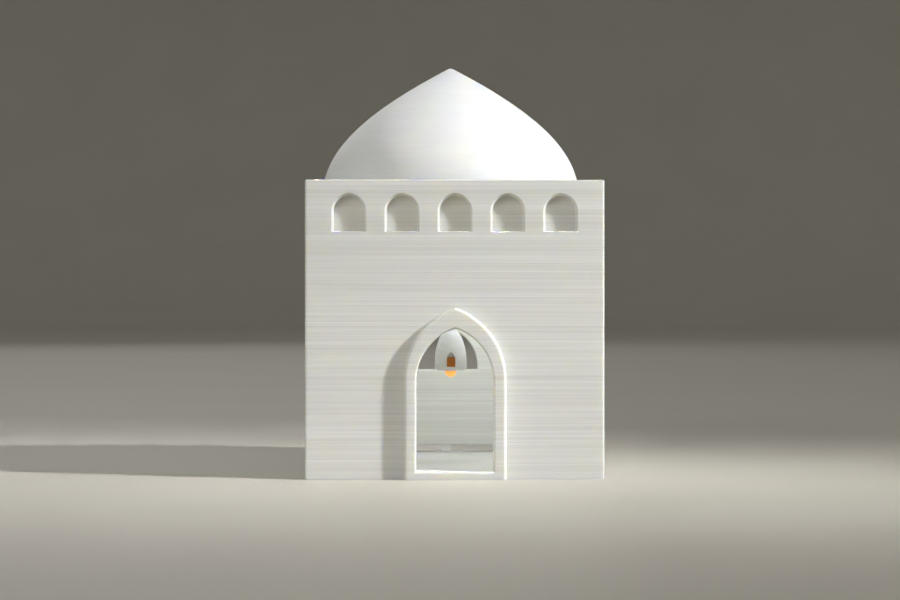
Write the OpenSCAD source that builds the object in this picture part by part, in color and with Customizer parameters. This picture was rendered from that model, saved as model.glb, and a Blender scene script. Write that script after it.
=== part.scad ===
// Domed shrine lamp: a printed body with an open doorway, a lift-off dome and a small hanging LED lamp.
// Millimetres. The origin is at the middle of the underside, +Z is up and the doorway faces -Y.

/* [Body] */
// Side of the square body
body_side = 75; // [74:0.5:80]
// Height of the body, from its underside to the roof
body_h = 75; // [74:0.5:80]
// Thickness of the walls
wall_t = 3.2; // [3:0.1:3.4]
// Thickness of the floor
floor_t = 1.2; // [1:0.1:1.6]

/* [Doorway] */
// Half of the doorway's clear width
door_half_w = 9.7; // [9:0.1:10.5]
// Height at which the doorway's arch springs
door_spring = 24.5; // [23:0.5:26]
// Height of the point of the doorway's arch
door_apex = 37.8; // [37:0.2:40]
// Half of the surround's outer width
surround_half_w = 12.8; // [12:0.1:14]
// Height of the point of the surround
surround_apex = 43; // [42:0.2:45]
// How far the surround stands out from the wall
surround_proud = 2; // [1.5:0.1:3]
// Height of the threshold
threshold_h = 2.4; // [2:0.1:3]

/* [Niches] */
// Number of blind niches in each row
niche_count = 5; // [3:2:5]
// Distance from one niche to the next
niche_pitch = 13.25; // [12:0.25:13.25]
// Half of a niche's width
niche_half_w = 4.1; // [3.5:0.1:4.5]
// Height of a niche, from its sill to its point
niche_h = 9.6; // [9:0.1:10.5]
// Depth of a niche
niche_depth = 2; // [1:0.1:2.2]

/* [Rear wall] */
// Half of the rear window's width
window_half_w = 8.7; // [8:0.1:9.5]
// Height of the rear window's sill
window_sill = 25; // [23:0.5:27]
// Height of the point of the rear window
window_apex = 36.8; // [35:0.2:39]
// Height of the slot under the rear wall
foot_slot_h = 2.2; // [1.5:0.1:3]

/* [Dome] */
// Height of the dome's point above the roof
dome_h = 32.4; // [31:0.2:36]
// Thickness of the dome at its foot
dome_t = 1.8; // [1.6:0.1:2]
// How far the dome's wall rises before it turns in
dome_shoulder = 11.4; // [10:0.2:13]
// Slope of the dome near its point, in degrees from level
dome_pitch = 28; // [25:1:31]

/* [Lamp] */
// Height of the lamp shade's rim above the underside of the body
lamp_rim_z = 26; // [24:0.5:30]
// Radius of the lamp shade at its widest
shade_r = 4.4; // [4:0.1:5]
// Height of the lamp shade
shade_h = 14; // [13:0.5:15]
// Radius of the wire that the eyes and the link are bent from
wire_r = 0.4; // [0.35:0.01:0.42]
// Radius of each eye and of the link, to the middle of its wire
eye_r = 1.5; // [1.5:0.05:1.7]

/* [Electrics] */
// Radius of the coin cell
cell_r = 10; // [9.5:0.1:10]
// Thickness of the coin cell
cell_t = 3.2; // [2.5:0.1:3.2]
// Travel of the switch slider
switch_travel = 2; // [1.5:0.1:2]

/* [Hidden] */

eps = 0.01;
gap = 0.1;
half = body_side / 2;

// The walls carry the roof plate on a ledge as deep as half their thickness
ledge = wall_t / 2;
plate_t = 3;
plate_z = body_h - plate_t;
niche_head = 0.4;
nib_half_w = 1;
plate_half = half - ledge - gap;
roof_z = body_h;

// Corner posts take the countersunk roof screws
post_w = 6;
post_h = 12;
screw_at = half - wall_t - post_w / 2 + gap;
screw_r = 0.95;
screw_head_r = 1.9;
screw_head_h = 1.2;
screw_len = 8;
screw_slack = 0.15;
screw_bite = 0.1;
cross_half_l = 1.1;
cross_half_w = 0.22;
cross_depth = 0.7;

// The dome stands on the roof and is centred by a ring inside it
dome_r = half - wall_t;
dome_lean = 7.8;
dome_run = 0.71;
ring_slack = 0.9;
ring_r = dome_r - dome_t - ring_slack;
ring_t = 1.8;
ring_h = 2;

// The lamp hangs from an eye, a link and a second eye
rose_r = 5;
rose_t = 1.8;
rose_lip_t = 1;
eye_shank = 1.6;
rose_z = plate_z - rose_t;
hang_gap = 2 * wire_r + 0.1;
ceiling_eye_z = rose_z - eye_r - 1;
link_pivot_z = ceiling_eye_z - eye_r;
link_z = link_pivot_z + hang_gap - eye_r;
lamp_pivot_z = link_z - eye_r;
lamp_eye_z = lamp_pivot_z + hang_gap - eye_r;
stem_top_z = lamp_eye_z - eye_r;
stem_r = 0.8;
cap_h = 3.5;
cap_sink = 1.5;
bell_h = shade_h - cap_sink;
cap_z = lamp_rim_z + bell_h;
cap_r = 2.1;
cap_neck_r = 1.2;
shade_t = 0.9;
cut_half_w = 1.2;
cut_foot = 1;
cut_spring = 2.9;
cut_apex = 5;
led_r = 1.5;
led_flange = 0.35;
led_below_rim = 0.3;
led_leg_r = 0.25;
led_leg_x = 0.835;
led_foot_z = lamp_rim_z + 3.5;

// Battery holder, behind the middle of the dome's floor
holder_y = -12;
holder_r = 12.2;
holder_floor = 1.2;
seat_t = 0.5;
cell_z = roof_z + holder_floor + seat_t;
holder_h = 4.6;
cell_slack = 0.3;
seat_w = 1.2;
notch_half_w = 5;
ear_turns = [45, 225];
ear_at = 14.8;
ear_r = 2.4;
ear_t = 1.4;
ear_hole_r = 0.9;
ear_screw_r = 0.7;
ear_screw_len = 2.2;
ear_head_r = 1.5;
ear_head_h = 0.9;
ear_slot_half_w = 0.2;
strip_t = 0.3;
strip_w = 4;
clip_h = 4.4;
thin_strip_t = 0.25;
thin_strip_w = 3;
tab_r = 1.4;
tab_x = holder_r + 2.2;

// Resistor, beside the holder
resistor_x = 15;
resistor_y = 4;
resistor_r = 0.9;
resistor_waist = 0.82;
resistor_end = 1.1;
resistor_len = 4;
resistor_leg = 2.5;
resistor_leg_r = 0.25;
resistor_z = roof_z + 1.3;

// Slide switch, let into the underside of the roof plate
switch_x = 23.5;
switch_y = half - 6;
case_size = [8.6, 3.6, 3.5];
case_top = roof_z - 1.2;
knob = [1.6, 1.4];
knob_proud = 1.8;
knob_slack = 0.2;
slide_size = [3.8, 2.6];
slide_low = -2.5;
slide_high = -0.65;
pin_pitch = 2;
pin_size = [0.6, 0.3, 3.5];

// Wires: routes as round numbers, heights counted from the roof
wire_hole = [14, 23];
lamp_hole = [0, 7];
hole_r = 1.6;
lead_r = 0.5;
red_route = [[14.6, -12, 2], [15.2, -10, 2.3], [15.4, -7, 2], [15.2, -4, 1.6], [15, -2, 1.3],
             [15, -0.5, 1.3]];
black_route = [[-14.6, -12, 1.95], [-16.5, -9, 1.7], [-17.5, -4, 0.9], [-17, 2, 0.6], [-14, 9, 0.6],
               [-7, 15, 0.6], [2, 18.5, 0.6], [8, 20.6, 0.6], [12, 22.2, 0.7], [13.3, 22.7, 0.3],
               [13.9, 23, -0.9], [14, 23, -3], [14.6, 23.4, -4.6], [17, 25.4, -6.2], [20, 29, -7.8],
               [21.5, 31.5, -8.2]];
plus_route = [[15, 8.5, 1.3], [14.9, 10, 1.2], [12.5, 11.6, 0.7], [8, 11, 0.6], [3.2, 8.6, 0.7],
              [1.6, 7.5, 0.6], [0.8, 7.1, -0.2], [0.7, 7, -1.6], [0.7, 7, -3.4], [0.7, 5.8, -4.6],
              [0.7, 4.5, -5.4], [0.7, 1.5, -5.5]];
minus_route = [[23.5, 31.5, -8.2], [22.4, 29.4, -8], [19, 24.5, -6.4], [13, 17, -4.6], [6, 11, -4],
               [0, 9.6, -4], [-2.2, 8, -4.2], [-2.3, 6.2, -4.6], [-1.8, 4.5, -5.4], [-0.8, 1.5, -5.5]];

// ---------- shapes that several pieces share ----------

// A pointed arch of two arcs on straight legs, drawn in X and Y
module pointed_arch(half_w, foot, spring, apex) {
    rise = apex - spring;
    off = (rise * rise - half_w * half_w) / (2 * half_w);
    translate([-half_w, foot])
        square([2 * half_w, spring - foot]);
    intersection() {
        translate([-off, spring])
            circle(r = half_w + off, $fn = 96);
        translate([off, spring])
            circle(r = half_w + off, $fn = 96);
        translate([-half_w, spring])
            square([2 * half_w, rise + 1]);
    }
}

// Stands an outline drawn in X and Y upright, from depth y0 to depth y1
module upright(y0, y1) {
    translate([0, y1, 0])
        rotate([90, 0, 0])
            linear_extrude(y1 - y0)
                children();
}

module box(low, high) {
    translate(low)
        cube(high - low);
}

module ring_wire(r, wire) {
    rotate_extrude($fn = 48)
        translate([r, 0])
            circle(r = wire, $fn = 24);
}

// A row of blind niches, cut into the face at y = -half
module niche_row() {
    sill = plate_z - niche_head - niche_h;
    for (i = [0 : niche_count - 1])
        translate([(i - (niche_count - 1) / 2) * niche_pitch, 0, 0])
            upright(-half - 1, -half + niche_depth)
                pointed_arch(niche_half_w, sill, sill + niche_h / 2, sill + niche_h);
}

// The place of one of four corners
module at_corners(d) {
    for (x = [-d, d])
        for (y = [-d, d])
            translate([x, y, 0])
                children();
}

// The place of each of the holder's two screws, on the roof
module at_ears() {
    for (s = [-1, 1])
        translate([s * ear_at / sqrt(2), holder_y + s * ear_at / sqrt(2), roof_z])
            children();
}

// A round wire swept along a route: rings of eight points, square to the route
function unit(v) = v / norm(v);
function route_dir(p, i) = unit(p[min(i + 1, len(p) - 1)] - p[max(i - 1, 0)]);
function side_of(d) = unit(cross(d, abs(d[2]) < 0.8 ? [0, 0, 1] : [1, 0, 0]));
function carried(d, last) = unit(last - d * (last * d));
function frames(p, i = 0, last = undef) =
    i == len(p) ? [] :
    let (d = route_dir(p, i), u = last == undef ? side_of(d) : carried(d, last))
    concat([[u, cross(d, u)]], frames(p, i + 1, u));
module swept_wire(route, r, z0) {
    n = 8;
    p = [for (q = route) q + [0, 0, z0]];
    f = frames(p);
    rings = len(p);
    points = [for (i = [0 : rings - 1]) for (k = [0 : n - 1])
        p[i] + r * (cos(360 * k / n) * f[i][0] + sin(360 * k / n) * f[i][1])];
    sides = [for (i = [0 : rings - 2]) for (k = [0 : n - 1])
        [i * n + k, (i + 1) * n + k, (i + 1) * n + (k + 1) % n, i * n + (k + 1) % n]];
    ends = [[for (k = [0 : n - 1]) k], [for (k = [n - 1 : -1 : 0]) (rings - 1) * n + k]];
    polyhedron(points, concat(sides, ends));
}

// ---------- body ----------

// Floor, front wall and side walls in one print, with the surround and threshold
module wall_shell() {
    color("ivory")
        difference() {
            union() {
                box([-half, -half, 0], [half, half, body_h]);
                upright(-half - surround_proud, -half + eps)
                    pointed_arch(surround_half_w, 0, door_spring + 0.5, surround_apex);
            }
            difference() {
                box([-half + wall_t, -half + wall_t, floor_t], [half - wall_t, half + 1, body_h + 1]);
                at_corners(half - wall_t - post_w / 2)
                    box([-post_w / 2 - eps, -post_w / 2 - eps, plate_z - post_h],
                        [post_w / 2 + eps, post_w / 2, plate_z]);
            }
            // Ledge for the roof plate
            box([-half + ledge, -half + ledge, plate_z], [half - ledge, half + 1, body_h + 1]);
            // Rebates for the rear panel
            box([-half + ledge, half - wall_t, floor_t], [half - ledge, half + 1, body_h + 1]);
            // Doorway
            upright(-half - surround_proud - 1, -half + wall_t + 1)
                pointed_arch(door_half_w, threshold_h, door_spring, door_apex);
            for (turn = [0, 90, 270])
                rotate([0, 0, turn])
                    niche_row();
            at_corners(screw_at)
                translate([0, 0, plate_z - screw_len])
                    cylinder(r = screw_r - screw_bite, h = screw_len + 1, $fn = 32);
        }
}

// Rear wall, set between the side walls, with its window and a nib that stands on the floor
module rear_panel() {
    foot = floor_t + foot_slot_h;
    color("ivory")
        difference() {
            union() {
                box([-plate_half, half - wall_t + gap, foot], [plate_half, half, body_h]);
                box([-nib_half_w, half - wall_t + gap, floor_t], [nib_half_w, half, foot + eps]);
            }
            box([-half, half - wall_t, plate_z], [half, half - ledge, body_h + 1]);
            upright(half - wall_t - 1, half + 1)
                pointed_arch(window_half_w, window_sill, window_sill + 1, window_apex);
            rotate([0, 0, 180])
                niche_row();
        }
}

// Square plate that closes the body and carries the lamp and the electrics
module roof_plate() {
    color("whitesmoke")
        difference() {
            box([-plate_half, -plate_half, plate_z], [plate_half, plate_half, roof_z]);
            at_corners(screw_at) {
                translate([0, 0, plate_z - 1])
                    cylinder(r = screw_r + screw_slack, h = plate_t + 2, $fn = 32);
                translate([0, 0, roof_z - screw_head_h])
                    cylinder(r1 = screw_r + screw_slack, r2 = screw_head_r + screw_slack,
                             h = screw_head_h + eps, $fn = 32);
            }
            // Blind hole for the ceiling eye
            translate([0, 0, plate_z - 1])
                cylinder(r = wire_r, h = 3, $fn = 32);
            // Holes for the wires
            for (at = [wire_hole, lamp_hole])
                translate([at[0], at[1], plate_z - 1])
                    cylinder(r = hole_r, h = plate_t + 2, $fn = 32);
            // Blind holes for the holder's screws
            at_ears()
                translate([0, 0, -ear_screw_len - 0.2])
                    cylinder(r = ear_screw_r - screw_bite, h = ear_screw_len + 1, $fn = 32);
            // Pocket for the switch case and a slot for its knob
            translate([switch_x, switch_y, 0]) {
                box([-case_size[0] / 2 - gap, -case_size[1] / 2 - gap, plate_z - 1],
                    [case_size[0] / 2 + gap, case_size[1] / 2 + gap, case_top]);
                box([-switch_travel - knob[0] / 2 - knob_slack - gap, -knob[1] / 2 - knob_slack, plate_z],
                    [knob[0] / 2 + knob_slack + gap, knob[1] / 2 + knob_slack, roof_z + 1]);
            }
        }
}

module roof_screws() {
    color("silver")
        at_corners(screw_at)
            difference() {
                union() {
                    translate([0, 0, roof_z - screw_len])
                        cylinder(r = screw_r, h = screw_len - 1, $fn = 32);
                    translate([0, 0, roof_z - screw_head_h])
                        cylinder(r1 = screw_r, r2 = screw_head_r, h = screw_head_h, $fn = 32);
                }
                for (turn = [0, 90])
                    rotate([0, 0, turn])
                        box([-cross_half_l, -cross_half_w, roof_z - cross_depth],
                            [cross_half_l, cross_half_w, roof_z + 1]);
            }
}

module locating_ring() {
    color("whitesmoke")
        difference() {
            translate([0, 0, roof_z])
                cylinder(r = ring_r, h = ring_h, $fn = 96);
            translate([0, 0, roof_z - 1])
                cylinder(r = ring_r - ring_t, h = ring_h + 2, $fn = 96);
        }
}

// ---------- dome ----------

// Outline from the foot to the point: a cubic curve set by its shoulder and its pitch
function dome_point(t, foot, top, shoulder) =
    let (run = foot * dome_run)
    pow(1 - t, 3) * [foot, 0]
    + 3 * pow(1 - t, 2) * t * [foot - shoulder * sin(dome_lean), shoulder * cos(dome_lean)]
    + 3 * (1 - t) * t * t * [run * cos(dome_pitch), top - run * sin(dome_pitch)]
    + pow(t, 3) * [0, top];
module dome_solid(foot, top, shoulder) {
    steps = 24;
    rotate_extrude($fn = 96)
        polygon(concat([[0, 0]], [for (i = [0 : steps]) dome_point(i / steps, foot, top, shoulder)]));
}

module dome() {
    color("white")
        translate([0, 0, roof_z])
            difference() {
                dome_solid(dome_r, dome_h, dome_shoulder);
                translate([0, 0, -eps])
                    dome_solid(dome_r - dome_t, dome_h - dome_t * 1.25, dome_shoulder - dome_t * 0.4);
            }
}

// ---------- lamp ----------

module ceiling_rose() {
    color("white")
        difference() {
            translate([0, 0, rose_z])
                union() {
                    cylinder(r = rose_r - 1, h = rose_t, $fn = 48);
                    translate([0, 0, rose_t - rose_lip_t])
                        cylinder(r = rose_r, h = rose_lip_t, $fn = 48);
                }
            translate([0, 0, rose_z - 1])
                cylinder(r = wire_r + screw_slack, h = rose_t + 2, $fn = 32);
        }
}

module ceiling_eye() {
    color("gold")
        union() {
            translate([0, 0, ceiling_eye_z])
                rotate([90, 0, 0])
                    ring_wire(eye_r, wire_r);
            translate([0, 0, ceiling_eye_z + eye_r])
                cylinder(r = wire_r + 0.05, h = rose_z - ceiling_eye_z - eye_r + rose_t + 1.5, $fn = 32);
        }
}

module hanging_link() {
    color("gold")
        translate([0, 0, link_z])
            rotate([0, 90, 0])
                ring_wire(eye_r, wire_r);
}

module lamp_eye() {
    color("gold")
        union() {
            translate([0, 0, lamp_eye_z])
                rotate([90, 0, 0])
                    ring_wire(eye_r, wire_r);
            translate([0, 0, stem_top_z - eye_shank])
                cylinder(r = wire_r, h = eye_shank, $fn = 32);
        }
}

// Thin tube that hides the LED's leads
module lamp_stem() {
    color("gold")
        difference() {
            translate([0, 0, cap_z + 1])
                cylinder(r = stem_r, h = stem_top_z - 0.4 - cap_z - 1, $fn = 32);
            translate([0, 0, cap_z])
                cylinder(r = wire_r, h = stem_top_z - cap_z, $fn = 32);
        }
}

module lamp_cap() {
    color("gold")
        translate([0, 0, cap_z])
            difference() {
                rotate_extrude($fn = 48)
                    polygon([[0, 0], [cap_r, 0], [cap_r, 0.8], [cap_r - 0.5, 1.4], [cap_neck_r, cap_h - 0.6],
                             [cap_neck_r, cap_h], [0, cap_h]]);
                translate([0, 0, 1])
                    cylinder(r = stem_r, h = cap_h, $fn = 32);
            }
}

// Bell with a turned-in rim and a pointed cut-out on each of four sides
function bell_side(r, h) =
    [[r * 0.86, 0], [r * 0.98, 0.8], [r, 2], [r * 0.985, 3.6], [r * 0.86, 6.4], [r * 0.62, 9.4],
     [r * 0.38, h - 1.6], [r * 0.3, h]];
module lantern_shade() {
    outer = bell_side(shade_r, bell_h);
    inner = bell_side(shade_r - shade_t, bell_h - shade_t);
    color("white")
        translate([0, 0, lamp_rim_z])
            difference() {
                rotate([0, 0, 45])
                    rotate_extrude($fn = 64)
                        polygon(concat(outer, [[0, bell_h], [0, bell_h - shade_t]],
                                       [for (i = [len(inner) - 1 : -1 : 0]) inner[i]]));
                for (turn = [0, 90, 180, 270])
                    rotate([0, 0, turn])
                        upright(-shade_r - 1, -1)
                            pointed_arch(cut_half_w, cut_foot, cut_spring, cut_apex);
                // Two bores for the LED's legs
                for (s = [-1, 1])
                    translate([s * led_leg_x, 0, bell_h - 3])
                        cylinder(r = led_leg_r + gap, h = 4, $fn = 24);
            }
}

module led_lens() {
    color("orange")
        union() {
            translate([0, 0, lamp_rim_z - led_below_rim])
                sphere(r = led_r, $fn = 32);
            translate([0, 0, lamp_rim_z - led_below_rim])
                cylinder(r = led_r, h = led_foot_z - lamp_rim_z + led_below_rim, $fn = 32);
            translate([0, 0, led_foot_z - 1])
                cylinder(r = led_r + led_flange, h = 1, $fn = 32);
        }
}

module led_legs() {
    color("silver")
        for (s = [-1, 1])
            translate([s * led_leg_x, 0, led_foot_z])
                cylinder(r = led_leg_r, h = cap_z - led_foot_z, $fn = 24);
}

// ---------- battery holder ----------

module battery_holder() {
    color("dimgray")
        translate([0, holder_y, roof_z])
            difference() {
                union() {
                    cylinder(r = holder_r, h = holder_h, $fn = 72);
                    for (turn = ear_turns)
                        rotate([0, 0, turn]) {
                            translate([ear_at, 0, 0])
                                cylinder(r = ear_r, h = ear_t, $fn = 32);
                            box([holder_r - 2, -ear_r, 0], [ear_at, ear_r, ear_t]);
                        }
                }
                // Cell pocket, with a seat left round its foot
                translate([0, 0, holder_floor + seat_t])
                    cylinder(r = cell_r + cell_slack, h = holder_h, $fn = 72);
                translate([0, 0, holder_floor])
                    cylinder(r = cell_r - seat_w, h = holder_h, $fn = 72);
                // Slots for the two contacts
                box([-holder_r - 1, -strip_w / 2 - gap, holder_floor],
                    [holder_r + 1, strip_w / 2 + gap, holder_h + 1]);
                // Finger notch
                box([-notch_half_w, cell_r - 2, holder_floor + seat_t],
                    [notch_half_w, holder_r + 1, holder_h + 1]);
                for (turn = ear_turns)
                    rotate([0, 0, turn])
                        translate([ear_at, 0, -1])
                            cylinder(r = ear_hole_r, h = ear_t + 2, $fn = 32);
            }
}

module holder_screws() {
    color("silver")
        at_ears() {
            difference() {
                translate([0, 0, ear_t])
                    cylinder(r = ear_head_r, h = ear_head_h, $fn = 32);
                box([-ear_head_r - 1, -ear_slot_half_w, ear_t + ear_head_h / 2],
                    [ear_head_r + 1, ear_slot_half_w, ear_t + ear_head_h + 1]);
            }
            translate([0, 0, -ear_screw_len])
                cylinder(r = ear_screw_r, h = ear_screw_len + ear_t + gap, $fn = 32);
        }
}

// Strip that stands against the cell's rim, with a soldering tab outside the holder
module positive_clip() {
    color("gainsboro")
        translate([0, holder_y, roof_z + holder_floor])
            union() {
                box([cell_r + cell_slack / 2, -strip_w / 2, 0],
                    [cell_r + cell_slack / 2 + strip_t, strip_w / 2, clip_h]);
                box([cell_r + cell_slack / 2, -strip_w / 2, 0], [tab_x, strip_w / 2, strip_t]);
                translate([tab_x, 0, 0])
                    cylinder(r = tab_r, h = strip_t, $fn = 32);
            }
}

// Strip that runs under the cell, with a raised pad at its middle and a soldering tab outside
module negative_contact() {
    color("gainsboro")
        translate([0, holder_y, roof_z + holder_floor])
            union() {
                box([-tab_x, -thin_strip_w / 2, 0], [thin_strip_w / 2, thin_strip_w / 2, thin_strip_t]);
                cylinder(r = thin_strip_w / 2, h = seat_t - gap / 2, $fn = 32);
                translate([-tab_x, 0, 0])
                    cylinder(r = tab_r, h = thin_strip_t, $fn = 32);
            }
}

module cell_can() {
    color("lightgray")
        translate([0, holder_y, cell_z])
            difference() {
                union() {
                    translate([0, 0, 0.5])
                        cylinder(r = cell_r, h = cell_t - 0.8, $fn = 72);
                    translate([0, 0, cell_t - 0.3])
                        cylinder(r1 = cell_r, r2 = cell_r - 0.3, h = 0.3, $fn = 72);
                    cylinder(r1 = cell_r - 0.4, r2 = cell_r, h = 0.5, $fn = 72);
                }
                translate([0, 0, -1])
                    cylinder(r = cell_r - 1.1, h = 1.6, $fn = 72);
            }
}

module cell_cap() {
    color("silver")
        translate([0, holder_y, cell_z])
            cylinder(r = cell_r - 1.5, h = 0.6, $fn = 72);
}

// ---------- resistor ----------

module resistor() {
    color("burlywood")
        translate([resistor_x, resistor_y + resistor_len / 2, resistor_z])
            rotate([90, 0, 0])
                union() {
                    cylinder(r = resistor_r * resistor_waist, h = resistor_len, $fn = 32);
                    for (z = [0, resistor_len - resistor_end])
                        translate([0, 0, z])
                            cylinder(r = resistor_r, h = resistor_end, $fn = 32);
                }
}

module resistor_legs() {
    color("silver")
        for (y = [resistor_y - resistor_len / 2, resistor_y + resistor_len / 2 + resistor_leg])
            translate([resistor_x, y, resistor_z])
                rotate([90, 0, 0])
                    cylinder(r = resistor_leg_r, h = resistor_leg, $fn = 24);
}

// ---------- switch ----------

module switch_case() {
    color("silver")
        translate([switch_x, switch_y, case_top])
            difference() {
                box([-case_size[0] / 2, -case_size[1] / 2, -case_size[2]],
                    [case_size[0] / 2, case_size[1] / 2, 0]);
                box([-slide_size[0] / 2 - switch_travel - gap, -slide_size[1] / 2 - gap, slide_low - gap],
                    [slide_size[0] / 2 + gap, slide_size[1] / 2 + gap, slide_high + 1.5 * gap]);
                box([-switch_travel - knob[0] / 2 - knob_slack, -knob[1] / 2 - screw_slack, -1],
                    [knob[0] / 2 + knob_slack, knob[1] / 2 + screw_slack, 1]);
            }
}

module switch_slider() {
    color("black")
        translate([switch_x, switch_y, case_top])
            union() {
                box([-slide_size[0] / 2, -slide_size[1] / 2, slide_low],
                    [slide_size[0] / 2, slide_size[1] / 2, slide_high]);
                box([-knob[0] / 2, -knob[1] / 2, -1],
                    [knob[0] / 2, knob[1] / 2, roof_z - case_top + knob_proud]);
            }
}

module switch_terminals() {
    color("gainsboro")
        for (i = [-1 : 1])
            translate([switch_x + i * pin_pitch, switch_y, case_top - case_size[2]])
                box([-pin_size[0] / 2, -pin_size[1] / 2, -pin_size[2]],
                    [pin_size[0] / 2, pin_size[1] / 2, 0]);
}

// ---------- wires ----------

module red_wire() {
    color("red")
        swept_wire(red_route, lead_r, roof_z);
}

module black_wire() {
    color("black")
        swept_wire(black_route, lead_r, roof_z);
}

module lamp_wires() {
    color("white") {
        swept_wire(plus_route, lead_r, roof_z);
        swept_wire(minus_route, lead_r, roof_z);
    }
}

wall_shell();
rear_panel();
roof_plate();
roof_screws();
locating_ring();
dome();
ceiling_rose();
ceiling_eye();
hanging_link();
lamp_eye();
lamp_stem();
lamp_cap();
lantern_shade();
led_lens();
led_legs();
battery_holder();
holder_screws();
positive_clip();
negative_contact();
cell_can();
cell_cap();
resistor();
resistor_legs();
switch_case();
switch_slider();
switch_terminals();
red_wire();
black_wire();
lamp_wires();
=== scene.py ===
import math

import bmesh
import bpy
from mathutils import Matrix, Vector


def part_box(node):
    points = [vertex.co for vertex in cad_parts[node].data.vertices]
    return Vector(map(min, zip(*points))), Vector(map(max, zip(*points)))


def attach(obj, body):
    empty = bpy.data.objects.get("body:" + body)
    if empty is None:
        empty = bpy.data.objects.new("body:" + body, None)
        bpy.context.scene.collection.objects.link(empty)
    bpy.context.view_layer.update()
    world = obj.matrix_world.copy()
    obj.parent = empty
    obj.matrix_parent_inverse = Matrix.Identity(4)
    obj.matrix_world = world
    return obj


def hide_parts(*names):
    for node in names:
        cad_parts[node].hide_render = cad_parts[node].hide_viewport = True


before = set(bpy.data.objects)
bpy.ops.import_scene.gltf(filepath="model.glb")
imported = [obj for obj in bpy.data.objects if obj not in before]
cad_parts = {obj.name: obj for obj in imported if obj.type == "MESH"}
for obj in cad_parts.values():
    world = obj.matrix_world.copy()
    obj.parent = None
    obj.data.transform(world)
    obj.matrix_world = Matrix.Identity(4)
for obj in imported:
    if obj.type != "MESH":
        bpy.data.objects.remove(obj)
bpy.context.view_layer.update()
MM = 0.001

# ---- Camera ----
# Stands level in front of the doorway at the height of the wall's middle, turned a little so that the near
# corner of the right wall just closes.
shell_low, shell_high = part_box("wall_shell")
HALF = shell_high.x
BODY_H = shell_high.z
CAMERA_TURN = math.radians(1.65)
CAMERA_DISTANCE = 485 * MM
CAMERA_HEIGHT = 44.9 * MM
CAMERA_SIDESTEP = 1.25 * MM
FIELD_WIDTH = 225 * MM

look = Vector((math.sin(CAMERA_TURN), math.cos(CAMERA_TURN), 0))
sideways = Vector((look.y, -look.x, 0))
bpy.ops.object.camera_add()
camera = bpy.context.object
camera.name = "camera"
camera.location = Vector((0, -HALF, CAMERA_HEIGHT)) - look * CAMERA_DISTANCE - sideways * CAMERA_SIDESTEP
camera.rotation_euler = (math.pi / 2, 0, -CAMERA_TURN)
camera.data.lens = camera.data.sensor_width * CAMERA_DISTANCE / FIELD_WIDTH
camera.data.clip_start = 0.01
camera.data.clip_end = 20
bpy.context.scene.camera = camera

# ---- Floor and light ----
# A pale table top that bends up into a round backdrop, one soft lamp low on the right as a window would be,
# weak soft boxes that fill the shadows, and a small one for the hall.
FLOOR_RADIUS = 2.4
FLOOR_BEND = 0.8
WALL_HEIGHT = 2.0


def say(kind, tree, **settings):
    """A new node of that kind with its settings."""
    made = tree.nodes.new("ShaderNode" + kind)
    for name, value in settings.items():
        setattr(made, name, value)
    return made


def new_material(name):
    """A material with only a Principled shader, and the shader's node."""
    material = bpy.data.materials.new(name)
    material.use_nodes = True
    return material, material.node_tree, material.node_tree.nodes["Principled BSDF"]


def set_inputs(made, **values):
    """Sets a node's own sockets, with _ for a space in their names."""
    for name, value in values.items():
        made.inputs[name.replace("_", " ")].default_value = value


def start_piece(name):
    """An empty mesh with its object at the origin, open in edit mode."""
    bpy.ops.object.select_all(action="DESELECT")
    bpy.ops.mesh.primitive_plane_add(size=MM)
    piece = bpy.context.object
    piece.name = name
    bpy.ops.object.mode_set(mode="EDIT")
    bpy.ops.mesh.select_mode(type="VERT")
    bpy.ops.mesh.delete(type="VERT")
    return piece


def put_point(place):
    """One loose point, selected alone."""
    bpy.ops.mesh.select_all(action="DESELECT")
    bpy.ops.mesh.primitive_plane_add(size=MM, location=place)
    bpy.ops.mesh.merge(type="CENTER")


def draw_line(points):
    """A chain of edges through the points."""
    put_point(points[0])
    for a, b in zip(points, points[1:]):
        bpy.ops.mesh.extrude_region_move(TRANSFORM_OT_translate={"value": Vector(b) - Vector(a)})


def lathe(points, segments):
    """Turns a chain of (radius, height) points about the Z axis into a closed skin that faces outwards."""
    draw_line([(r, 0, z) for r, z in points])
    bpy.ops.mesh.select_all(action="SELECT")
    bpy.ops.mesh.spin(steps=segments, angle=2 * math.pi, center=(0, 0, 0), axis=(0, 0, 1))
    bpy.ops.mesh.select_all(action="SELECT")
    bpy.ops.mesh.remove_doubles(threshold=0.001 * MM)
    bpy.ops.mesh.normals_make_consistent(inside=False)


def close_piece(piece, smooth_below=30):
    """Leaves edit mode and shades the piece smooth except at its edges, with its flats kept flat."""
    if piece.mode == "EDIT":
        bpy.ops.object.mode_set(mode="OBJECT")
    bpy.ops.object.select_all(action="DESELECT")
    piece.select_set(True)
    bpy.context.view_layer.objects.active = piece
    bpy.ops.object.shade_smooth_by_angle(angle=math.radians(smooth_below))
    flats = piece.modifiers.new("flats", "WEIGHTED_NORMAL")
    flats.keep_sharp = True
    bpy.ops.object.modifier_apply(modifier="flats")
    return piece


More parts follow.
